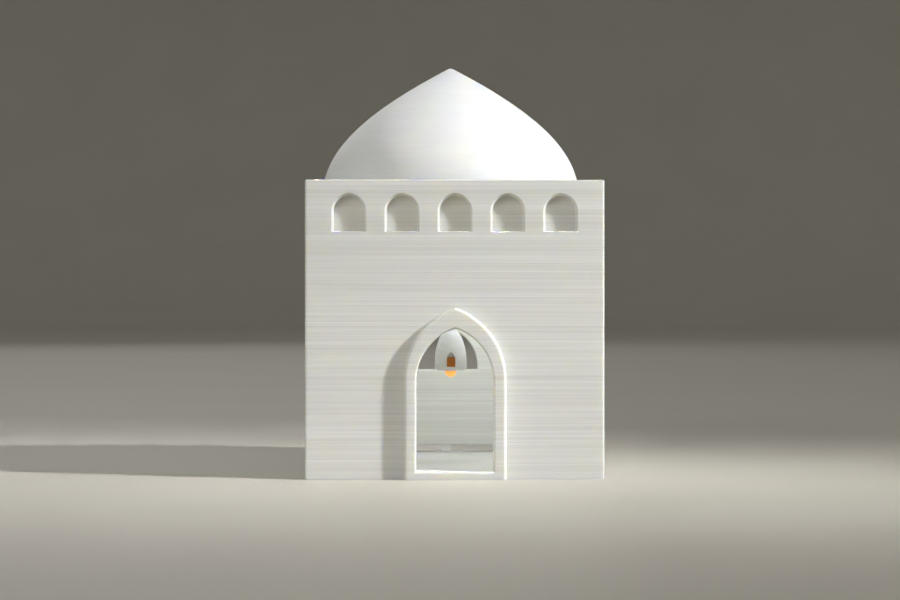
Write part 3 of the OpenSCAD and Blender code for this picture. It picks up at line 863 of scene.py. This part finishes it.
rose = start_piece("ceiling_disc")
rose_side = [
    (0.55, 1.8), (0.55, 0), (3.6, 0), (3.9, 0.12), (4.0, 0.4), (4.25, 0.7), (4.8, 0.85), (5.0, 1.1),
    (5.0, 1.8), (0.55, 1.8),
]
lathe([(r * MM, z * MM + ROSE_FOOT) for r, z in rose_side], 64)
close_piece(rose, 40)
finish(rose, roof_print, "root")
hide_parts("ceiling_rose")

brass_wire = metal_material(
    "brass_wire",
    dull=(0.55, 0.36, 0.12, 1),
    bright=(0.86, 0.64, 0.27, 1),
    smooth=0.16,
    rough=0.40,
    patch_mm=1.2,
)


def wire_ring(name, z, turn, shank=None):
    """A closed ring of wire at that height, with a straight shank between two heights if it has one."""
    bpy.ops.object.select_all(action="DESELECT")
    bpy.ops.mesh.primitive_torus_add(
        major_radius=EYE,
        minor_radius=WIRE,
        major_segments=72,
        minor_segments=20,
        location=(0, 0, z),
        rotation=turn,
    )
    piece = bpy.context.object
    piece.name = name
    bpy.ops.object.transform_apply(location=True, rotation=True)
    if shank:
        radius, low, high = shank
        rod = start_piece("shank")
        ease = 0.1 * MM
        foot = [(0, low), (radius - ease, low), (radius, low + ease)]
        lathe(foot + [(radius, high - ease), (radius - ease, high), (0, high)], 32)
        bpy.ops.object.mode_set(mode="OBJECT")
        combine(piece, rod, "UNION")
    return close_piece(piece, 50)


upright_ring = (math.pi / 2, 0, 0)
crosswise_ring = (0, math.pi / 2, 0)
eye = wire_ring("ceiling_eye_wire", CEILING_EYE_Z, upright_ring, (SHANK_R, CEILING_EYE_Z + EYE, SHANK_TOP))
finish(eye, brass_wire, "root")
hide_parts("ceiling_eye")
loose_link = wire_ring("loose_link", LINK_Z, crosswise_ring)
finish(loose_link, brass_wire, "link")
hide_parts("hanging_link")
eye = wire_ring("lamp_eye_wire", LAMP_EYE_Z, upright_ring, (WIRE, LAMP_SHANK_FOOT, LAMP_EYE_Z - EYE))
finish(eye, brass_wire, "lamp")
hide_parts("lamp_eye")

# ---- Lamp stem and cap ----
# A thin drawn brass tube that hides the lamp's leads, soldered into a small turned cap on top of the shade.
STEM_FOOT = 39.5 * MM
STEM_HEAD = 61.6 * MM
STEM_R = 0.8 * MM
STEM_BORE = 0.4 * MM
STEM_EASE = 0.12 * MM
STEM_EASE_H = 0.15 * MM
CAP_Z = 38.5 * MM
brass_tube = metal_material(
    "brass_tube",
    dull=(0.60, 0.42, 0.17, 1),
    bright=(0.88, 0.68, 0.33, 1),
    smooth=0.12,
    rough=0.34,
    patch_mm=2.5,
)
stem = start_piece("stem_tube")
stem_side = [
    (STEM_BORE, STEM_FOOT),
    (STEM_R, STEM_FOOT),
    (STEM_R, STEM_HEAD - STEM_EASE_H),
    (STEM_R - STEM_EASE, STEM_HEAD),
    (STEM_BORE, STEM_HEAD),
    (STEM_BORE, STEM_FOOT),
]
lathe(stem_side, 40)
close_piece(stem, 40)
finish(stem, brass_tube, "lamp")
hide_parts("lamp_stem")
cap = start_piece("turned_cap")
cap_side = [
    (0, 1.0), (0.8, 1.0), (0.8, 3.5), (1.1, 3.5), (1.2, 3.4), (1.2, 2.9), (1.28, 2.4), (1.45, 1.8),
    (1.68, 1.35), (1.85, 1.1), (2.02, 0.88), (2.1, 0.7), (2.1, 0.12), (2.0, 0), (0, 0),
]
lathe([(r * MM, z * MM + CAP_Z) for r, z in reversed(cap_side)], 48)
close_piece(cap, 35)
finish(cap, brass_tube, "lamp")
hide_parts("lamp_cap")

# ---- Lamp shade ----
# A small bell printed in thin white plastic, open below, with a pointed opening on each of four sides.
# The lamp's light shows through it.
RIM_Z = 26 * MM
SHADE_R = 4.4 * MM
SHADE_H = 12.5 * MM
SHADE_WALL = 0.9 * MM
LEG_X = 0.835 * MM
LEG_BORE = 0.35 * MM
CUT_OUT = (1.15 * MM, 27 * MM, 28.9 * MM, 31 * MM)


def smooth_line(points, steps):
    """A smooth line through the points, with that many steps between each two."""
    line = []
    ends = [points[0]] + list(points) + [points[-1]]
    for a, b, c, d in zip(ends, ends[1:], ends[2:], ends[3:]):
        for i in range(steps):
            t = i / steps
            line.append([
                0.5 * (2 * b[k] + (c[k] - a[k]) * t + (2 * a[k] - 5 * b[k] + 4 * c[k] - d[k]) * t * t
                       + (3 * b[k] - a[k] - 3 * c[k] + d[k]) * t**3)
                for k in range(len(a))
            ])
    return line + [list(points[-1])]


def bell_side(r, h):
    """The bell's outline from its rim up."""
    low = [(r * 0.86, 0), (r * 0.98, 0.8 * MM), (r, 2 * MM), (r * 0.985, 3.6 * MM)]
    return low + [(r * 0.86, 6.4 * MM), (r * 0.62, 9.4 * MM), (r * 0.38, h - 1.6 * MM), (r * 0.3, h)]


outer = smooth_line(bell_side(SHADE_R, SHADE_H), 4)
inner_line = smooth_line(bell_side(SHADE_R - SHADE_WALL, SHADE_H - SHADE_WALL), 4)
bell = [(0, SHADE_H - SHADE_WALL)] + inner_line[::-1] + outer + [(0, SHADE_H)]
shade = start_piece("bell_shade")
lathe([(r, z + RIM_Z) for r, z in bell], 72)
bpy.ops.object.mode_set(mode="OBJECT")
cut_layers = [(-SHADE_R - CLEAR, 0), (-CLEAR, 0)]
one_cut = arch_body("cut_out", CUT_OUT, cut_layers, 10)
for turn in (0, 90, 180, 270):
    combine(shade, copy_piece(one_cut, "cut", Matrix.Rotation(math.radians(turn), 4, "Z")))
bpy.data.objects.remove(one_cut)
for x in (-LEG_X, LEG_X):
    bpy.ops.object.select_all(action="DESELECT")
    bpy.ops.mesh.primitive_cylinder_add(
        vertices=16, radius=LEG_BORE, depth=4 * MM, location=(x, 0, CAP_Z - MM)
    )
    bpy.ops.object.transform_apply(location=True)
    combine(shade, bpy.context.object)
close_piece(shade, 35)
shade_print = print_material(
    "shade_print",
    dark=(0.82, 0.82, 0.79, 1),
    light=(0.92, 0.92, 0.90, 1),
    layer_mm=0.2,
    streak_mm=4,
    ridge=0.6,
    depth=0.02 * MM,
    rough=0.45,
    glow_mm=1.8,
)
finish(shade, shade_print, "lamp")
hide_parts("lantern_shade")

# ---- LED ----
# A 3 mm LED in diffused amber epoxy, tip down inside the shade, on two tinned legs that go up into the cap.
LED_R = 1.5 * MM
LED_MIDDLE = 25.7 * MM
LED_FOOT = 29.5 * MM
FLANGE_R = 1.85 * MM
FLANGE_H = 1 * MM
FLANGE_EASE = 0.1 * MM
led = start_piece("led_bulb")
quarter = [math.radians(9 * i) for i in range(11)]
tip = [(LED_R * math.sin(a), LED_MIDDLE - LED_R * math.cos(a)) for a in quarter]
flange = [
    (LED_R, LED_FOOT - FLANGE_H),
    (FLANGE_R - FLANGE_EASE, LED_FOOT - FLANGE_H),
    (FLANGE_R, LED_FOOT - FLANGE_H + FLANGE_EASE),
    (FLANGE_R, LED_FOOT - FLANGE_EASE),
    (FLANGE_R - FLANGE_EASE, LED_FOOT),
    (0, LED_FOOT),
]
lathe(tip + flange, 48)
close_piece(led, 40)
led_epoxy, tree, shader = new_material("led_epoxy")
place = say("TexCoord", tree)
height = say("SeparateXYZ", tree)
glow_at = say("MapRange", tree)
set_inputs(glow_at, From_Min=LED_MIDDLE + 0.9 * MM, From_Max=LED_MIDDLE - 0.3 * MM)
glow = say("ValToRGB", tree)
glow.color_ramp.elements[0].color = (0.03, 0.012, 0.002, 1)
glow.color_ramp.elements[1].color = (1.0, 0.40, 0.09, 1)
haze = say("TexNoise", tree)
set_inputs(haze, Scale=1400.0, Detail=4.0)
amber = say("ValToRGB", tree)
amber.color_ramp.elements[0].color = (0.70, 0.26, 0.04, 1)
amber.color_ramp.elements[1].color = (0.85, 0.36, 0.08, 1)
link = tree.links.new
link(place.outputs["Object"], height.inputs[0])
link(height.outputs["Z"], glow_at.inputs["Value"])
link(glow_at.outputs["Result"], glow.inputs["Fac"])
link(glow.outputs["Color"], shader.inputs["Emission Color"])
link(place.outputs["Object"], haze.inputs["Vector"])
link(haze.outputs["Fac"], amber.inputs["Fac"])
link(amber.outputs["Color"], shader.inputs["Base Color"])
set_inputs(shader, Roughness=0.25, Emission_Strength=1.0, IOR=1.5)
set_inputs(shader, Subsurface_Weight=0.3, Subsurface_Scale=0.8 * MM)
finish(led, led_epoxy, "lamp")
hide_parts("led_lens")
tinned = metal_material(
    "tinned_steel",
    dull=(0.50, 0.50, 0.49, 1),
    bright=(0.78, 0.78, 0.76, 1),
    smooth=0.2,
    rough=0.45,
    patch_mm=0.7,
)
finish(refine("led_legs", "led_leads", 0.03 * MM, 50), tinned, "lamp")

# ---- Battery holder ----
# A round cup moulded in dark plastic, with two lugs for its screws and slots for the two contact strips.


def make_moulded():
    """Moulded plastic: a fine spark-eroded grain and faint flow marks."""
    group = bpy.data.node_groups.new("moulded_grain", "ShaderNodeTree")
    add_socket(group, "Grain mm", "INPUT", "Float", 0.15)
    add_socket(group, "Grain", "OUTPUT", "Float")
    add_socket(group, "Flow", "OUTPUT", "Float")
    enter = group.nodes.new("NodeGroupInput")
    leave = group.nodes.new("NodeGroupOutput")
    place = say("TexCoord", group)
    in_mm = say("VectorMath", group, operation="SCALE")
    set_inputs(in_mm, Scale=1000.0)
    size = say("Math", group, operation="DIVIDE")
    size.inputs[0].default_value = 1.0
    grain = say("TexNoise", group)
    set_inputs(grain, Detail=2.0)
    flow = say("TexNoise", group)
    set_inputs(flow, Scale=0.25, Detail=2.0, Distortion=1.5)
    link = group.links.new
    link(place.outputs["Object"], in_mm.inputs[0])
    link(enter.outputs["Grain mm"], size.inputs[1])
    link(in_mm.outputs[0], grain.inputs["Vector"])
    link(size.outputs[0], grain.inputs["Scale"])
    link(in_mm.outputs[0], flow.inputs["Vector"])
    link(grain.outputs["Fac"], leave.inputs["Grain"])
    link(flow.outputs["Fac"], leave.inputs["Flow"])
    return group


moulded = make_moulded()


def plastic_material(name, dark, light, rough, grain_mm, depth, dusty_share):
    """Moulded or extruded plastic with its grain, flow marks and a little dust."""
    material, tree, shader = new_material(name)
    skin = use_group(tree, moulded, Grain_mm=grain_mm)
    tint = say("ValToRGB", tree)
    tint.color_ramp.elements[0].position = 0.3
    tint.color_ramp.elements[1].position = 0.7
    tint.color_ramp.elements[0].color = dark
    tint.color_ramp.elements[1].color = light
    lying = use_group(tree, dust, Amount=dusty_share)
    dusty = say("Mix", tree, data_type="RGBA")
    dusty.inputs["B"].default_value = (0.55, 0.53, 0.50, 1)
    gloss = say("MapRange", tree)
    set_inputs(gloss, To_Min=rough - 0.1, To_Max=rough + 0.1)
    relief = say("Bump", tree)
    set_inputs(relief, Strength=0.5, Distance=depth)
    link = tree.links.new
    link(skin.outputs["Flow"], tint.inputs["Fac"])
    link(tint.outputs["Color"], dusty.inputs["A"])
    link(lying.outputs["Dust"], dusty.inputs["Factor"])
    link(dusty.outputs["Result"], shader.inputs["Base Color"])
    link(skin.outputs["Grain"], gloss.inputs["Value"])
    link(gloss.outputs["Result"], shader.inputs["Roughness"])
    link(skin.outputs["Grain"], relief.inputs["Height"])
    link(relief.outputs["Normal"], shader.inputs["Normal"])
    return material


holder_plastic = plastic_material(
    "holder_plastic",
    dark=(0.020, 0.020, 0.022, 1),
    light=(0.034, 0.034, 0.036, 1),
    rough=0.42,
    grain_mm=0.12,
    depth=0.01 * MM,
    dusty_share=0.25,
)
finish(refine("battery_holder", "cell_cup", 0.15 * MM), holder_plastic, "root")
finish(refine("holder_screws", "cup_screws", 0.06 * MM, 50), screw_steel, "root")

# ---- Contact strips ----
# Two stamped strips of tinned spring steel: one stands against the cell's rim and one runs under the cell.
finish(refine("positive_clip", "rim_contact", 0.04 * MM, 50), tinned, "root")
finish(refine("negative_contact", "foot_contact", 0.04 * MM, 50), tinned, "root")

# ---- Coin cell ----
# A 20 mm lithium cell: a drawn steel can with a brushed face and a plus sign, crimped round a smaller cap.
CUP_Y = -12 * MM
CELL_TOP = 79.9 * MM
PLUS_ARM = 1.6 * MM
PLUS_LINE = 0.35 * MM
PLUS_DEPTH = 0.06 * MM


def brushed_material(name, dull, bright):
    """Steel with fine turned rings round the cell's own axis."""
    material, tree, shader = new_material(name)
    place = say("TexCoord", tree)
    centre = say("Mapping", tree)
    centre.inputs["Location"].default_value = (0, -CUP_Y, 0)
    flat = say("VectorMath", tree, operation="MULTIPLY")
    flat.inputs[1].default_value = (1, 1, 0)
    radius = say("VectorMath", tree, operation="LENGTH")
    rings = say("TexNoise", tree, noise_dimensions="1D")
    set_inputs(rings, Scale=9000.0, Detail=4.0)
    worn = use_group(tree, rubbed, Patch_mm=4.0)
    tone = say("Mix", tree)
    set_inputs(tone, Factor=0.45)
    tint = say("ValToRGB", tree)
    tint.color_ramp.elements[0].position = 0.3
    tint.color_ramp.elements[1].position = 0.7
    tint.color_ramp.elements[0].color = dull
    tint.color_ramp.elements[1].color = bright
    gloss = say("MapRange", tree)
    set_inputs(gloss, From_Min=0.3, From_Max=0.7, To_Min=0.5, To_Max=0.34)
    relief = say("Bump", tree)
    set_inputs(relief, Strength=0.25, Distance=0.01 * MM)
    link = tree.links.new
    link(place.outputs["Object"], centre.inputs["Vector"])
    link(centre.outputs["Vector"], flat.inputs[0])
    link(flat.outputs[0], radius.inputs[0])
    link(radius.outputs["Value"], rings.inputs["W"])
    link(worn.outputs["Cloud"], tone.inputs["A"])
    link(rings.outputs["Fac"], tone.inputs["B"])
    link(tone.outputs["Result"], tint.inputs["Fac"])
    link(tint.outputs["Color"], shader.inputs["Base Color"])
    link(tone.outputs["Result"], gloss.inputs["Value"])
    link(gloss.outputs["Result"], shader.inputs["Roughness"])
    link(rings.outputs["Fac"], relief.inputs["Height"])
    link(relief.outputs["Normal"], shader.inputs["Normal"])
    set_inputs(shader, Metallic=1.0)
    return material


cell_steel = brushed_material("cell_steel", (0.50, 0.50, 0.50, 1), (0.76, 0.76, 0.75, 1))
can = refine("cell_can", "cell_shell", 0.12 * MM)
for half_x, half_y in ((PLUS_ARM, PLUS_LINE), (PLUS_LINE, PLUS_ARM)):
    low = (-half_x, CUP_Y - half_y, CELL_TOP - PLUS_DEPTH)
    combine(can, block("plus", low, (half_x, CUP_Y + half_y, CELL_TOP + MM)))
close_piece(can, 40)
finish(can, cell_steel, "coin_cell")
finish(refine("cell_cap", "cell_foot", 0.12 * MM), cell_steel, "coin_cell")

# ---- Resistor ----
# A quarter-watt resistor: a dumbbell of lacquered ceramic with painted rings, on tinned copper legs.
RESISTOR_X = 15 * MM
RESISTOR_Y = 4 * MM
RESISTOR_Z = 76.3 * MM
RESISTOR_HALF = 2 * MM
resistor_end = [
    (0.74, 0.7), (0.78, 0.9), (0.88, 1.15), (0.9, 1.45), (0.82, 1.75), (0.62, 1.93), (0.35, 2), (0, 2)
]
resistor_side = [(r, -z) for r, z in reversed(resistor_end)] + resistor_end
resistor = start_piece("resistor_body")
lathe([(r * MM, z * MM) for r, z in resistor_side], 40)
bpy.ops.object.mode_set(mode="OBJECT")
resistor.data.transform(Matrix.Rotation(math.pi / 2, 4, "X"))
resistor.data.transform(Matrix.Translation((RESISTOR_X, RESISTOR_Y, RESISTOR_Z)))
close_piece(resistor, 40)
lacquer, tree, shader = new_material("resistor_lacquer")
place = say("TexCoord", tree)
split = say("SeparateXYZ", tree)
along = say("MapRange", tree)
set_inputs(along, From_Min=RESISTOR_Y - RESISTOR_HALF, From_Max=RESISTOR_Y + RESISTOR_HALF)
rings = say("ValToRGB", tree)
rings.color_ramp.interpolation = "CONSTANT"
tan = (0.62, 0.44, 0.24, 1)
brown = (0.30, 0.10, 0.03, 1)
ink = (0.02, 0.02, 0.02, 1)
scarlet = (0.55, 0.03, 0.02, 1)
gilt = (0.55, 0.36, 0.08, 1)
for start, stop, colour in ((0.1, 0.18, brown), (0.32, 0.39, ink), (0.46, 0.53, scarlet), (0.80, 0.88, gilt)):
    rings.color_ramp.elements.new(start).color = colour
    rings.color_ramp.elements.new(stop).color = tan
rings.color_ramp.elements[0].color = tan
rings.color_ramp.elements[len(rings.color_ramp.elements) - 1].color = tan
skin = use_group(tree, moulded, Grain_mm=0.3)
gloss = say("MapRange", tree)
set_inputs(gloss, To_Min=0.2, To_Max=0.42)
relief = say("Bump", tree)
set_inputs(relief, Strength=0.5, Distance=0.03 * MM)
link = tree.links.new
link(place.outputs["Object"], split.inputs[0])
link(split.outputs["Y"], along.inputs["Value"])
link(along.outputs["Result"], rings.inputs["Fac"])
link(rings.outputs["Color"], shader.inputs["Base Color"])
link(skin.outputs["Grain"], gloss.inputs["Value"])
link(gloss.outputs["Result"], shader.inputs["Roughness"])
link(skin.outputs["Flow"], relief.inputs["Height"])
link(relief.outputs["Normal"], shader.inputs["Normal"])
finish(resistor, lacquer, "root")
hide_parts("resistor")
finish(refine("resistor_legs", "resistor_leads", 0.03 * MM, 50), tinned, "root")

# ---- Slide switch ----
# A tiny slide switch let into the roof from below: a folded steel case, a black nylon slider and three pins.
slider_plastic = plastic_material(
    "slider_plastic",
    dark=(0.016, 0.016, 0.016, 1),
    light=(0.03, 0.03, 0.03, 1),
    rough=0.5,
    grain_mm=0.1,
    depth=0.01 * MM,
    dusty_share=0.2,
)
switch_steel = metal_material(
    "switch_steel",
    dull=(0.46, 0.46, 0.45, 1),
    bright=(0.70, 0.70, 0.68, 1),
    smooth=0.2,
    rough=0.4,
    patch_mm=1.5,
)
finish(refine("switch_case", "switch_box", 0.15 * MM), switch_steel, "root")
finish(refine("switch_slider", "switch_knob", 0.12 * MM), slider_plastic, "slider")
finish(refine("switch_terminals", "switch_pins", 0.04 * MM), tinned, "root")

# ---- Wires ----
# Stranded wire in coloured insulation: red from the cell to the resistor, black from the cell to the switch,
# and a white pair that goes through the roof to the lamp's eye.
WIRE_R = 0.5 * MM
RED_ROUTE = [(14.6, -12, 2), (15.2, -10, 2.3), (15.4, -7, 2), (15.2, -4, 1.6), (15, -2, 1.3), (15, -0.5, 1.3)]
BLACK_ROUTE = [
    (-14.6, -12, 1.95), (-16.5, -9, 1.7), (-17.5, -4, 0.9), (-17, 2, 0.6), (-14, 9, 0.6), (-7, 15, 0.6),
    (2, 18.5, 0.6), (8, 20.6, 0.6), (12, 22.2, 0.7), (13.3, 22.7, 0.3), (13.9, 23, -0.9), (14, 23, -3),
    (14.6, 23.4, -4.6), (17, 25.4, -6.2), (20, 29, -7.8), (21.5, 31.5, -8.2),
]
PLUS_ROUTE = [
    (15, 8.5, 1.3), (14.9, 10, 1.2), (12.5, 11.6, 0.7), (8, 11, 0.6), (3.2, 8.6, 0.7), (1.6, 7.5, 0.6),
    (0.8, 7.1, -0.2), (0.7, 7, -1.6), (0.7, 7, -3.4), (0.7, 5.8, -4.6), (0.7, 4.5, -5.4), (0.7, 1.5, -5.5),
]
MINUS_ROUTE = [
    (23.5, 31.5, -8.2), (22.4, 29.4, -8), (19, 24.5, -6.4), (13, 17, -4.6), (6, 11, -4), (0, 9.6, -4),
    (-2.2, 8, -4.2), (-2.3, 6.2, -4.6), (-1.8, 4.5, -5.4), (-0.8, 1.5, -5.5),
]


def run_wire(name, route):
    """A round wire that runs smoothly through the route's points, closed at both ends."""
    line = bpy.data.curves.new(name, "CURVE")
    line.dimensions = "3D"
    spline = line.splines.new("POLY")
    points = smooth_line([Vector(p) * MM + Vector((0, 0, BODY_H)) for p in route], 5)
    spline.points.add(len(points) - 1)
    for spot, place in zip(spline.points, points):
        spot.co = (*place, 1)
    line.bevel_depth = WIRE_R
    line.bevel_resolution = 3
    line.use_fill_caps = True
    wire = bpy.data.objects.new(name, line)
    bpy.context.scene.collection.objects.link(wire)
    bpy.ops.object.select_all(action="DESELECT")
    wire.select_set(True)
    bpy.context.view_layer.objects.active = wire
    bpy.ops.object.convert(target="MESH")
    bpy.ops.object.mode_set(mode="EDIT")
    bpy.ops.mesh.select_all(action="SELECT")
    bpy.ops.mesh.remove_doubles(threshold=0.001 * MM)
    bpy.ops.mesh.normals_make_consistent(inside=False)
    return close_piece(bpy.context.object, 45)


def insulation(name, dark, light, rough, dusty_share):
    """Extruded insulation in one colour, with a fine grain."""
    return plastic_material(name, dark, light, rough, 0.2, 0.006 * MM, dusty_share)


red = insulation("red_insulation", (0.50, 0.025, 0.02, 1), (0.64, 0.04, 0.03, 1), 0.35, 0.15)
black = insulation("black_insulation", (0.02, 0.02, 0.02, 1), (0.035, 0.035, 0.035, 1), 0.35, 0.2)
white = insulation("white_insulation", (0.76, 0.76, 0.72, 1), (0.86, 0.86, 0.82, 1), 0.38, 0.15)
wire = run_wire("red_lead", RED_ROUTE)
finish(wire, red, "root")
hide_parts("red_wire")
wire = run_wire("black_lead", BLACK_ROUTE)
finish(wire, black, "root")
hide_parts("black_wire")
wire = join_pieces([run_wire("lamp_leads", PLUS_ROUTE), run_wire("lamp_lead_2", MINUS_ROUTE)])
finish(wire, white, "root")
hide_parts("lamp_wires")
